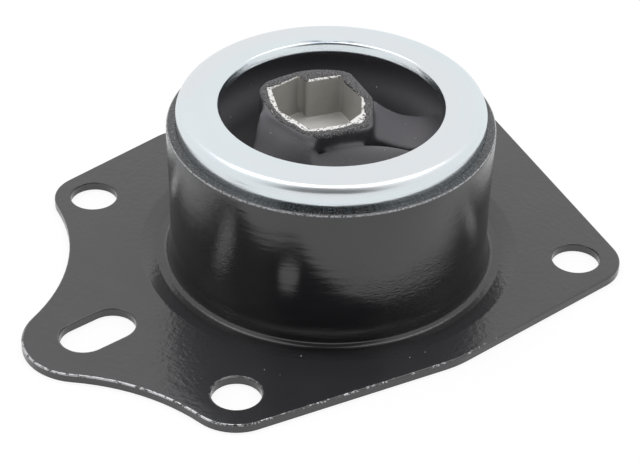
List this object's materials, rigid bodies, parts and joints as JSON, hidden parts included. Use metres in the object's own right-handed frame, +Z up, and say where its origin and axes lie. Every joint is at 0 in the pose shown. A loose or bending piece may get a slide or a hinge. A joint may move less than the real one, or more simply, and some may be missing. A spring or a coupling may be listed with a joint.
{
  "type": "engine mount",
  "caption": "Engine mount with a drawn can on a lobed plate, a bright inner ring, and a metal core hung in shaped rubber with a six-sided pocket.",
  "frame": {"origin": "on the can's axis, level with the plate's underside", "axes": "+Z up along the can's axis, out of its ring; +X to the right and +Y away as the picture sees it"},
  "size_m": [0.1587, 0.1559, 0.0485],
  "materials": {
    "black_coat": "satin",
    "zinc_plate": "bright",
    "rubber": "matt",
    "cast_aluminium": "satin"
  },
  "bodies": {
    "root": {"bracket": "black_coat", "sleeve": "zinc_plate", "rubber": "rubber", "core": "cast_aluminium"}
  },
  "joints": []
}
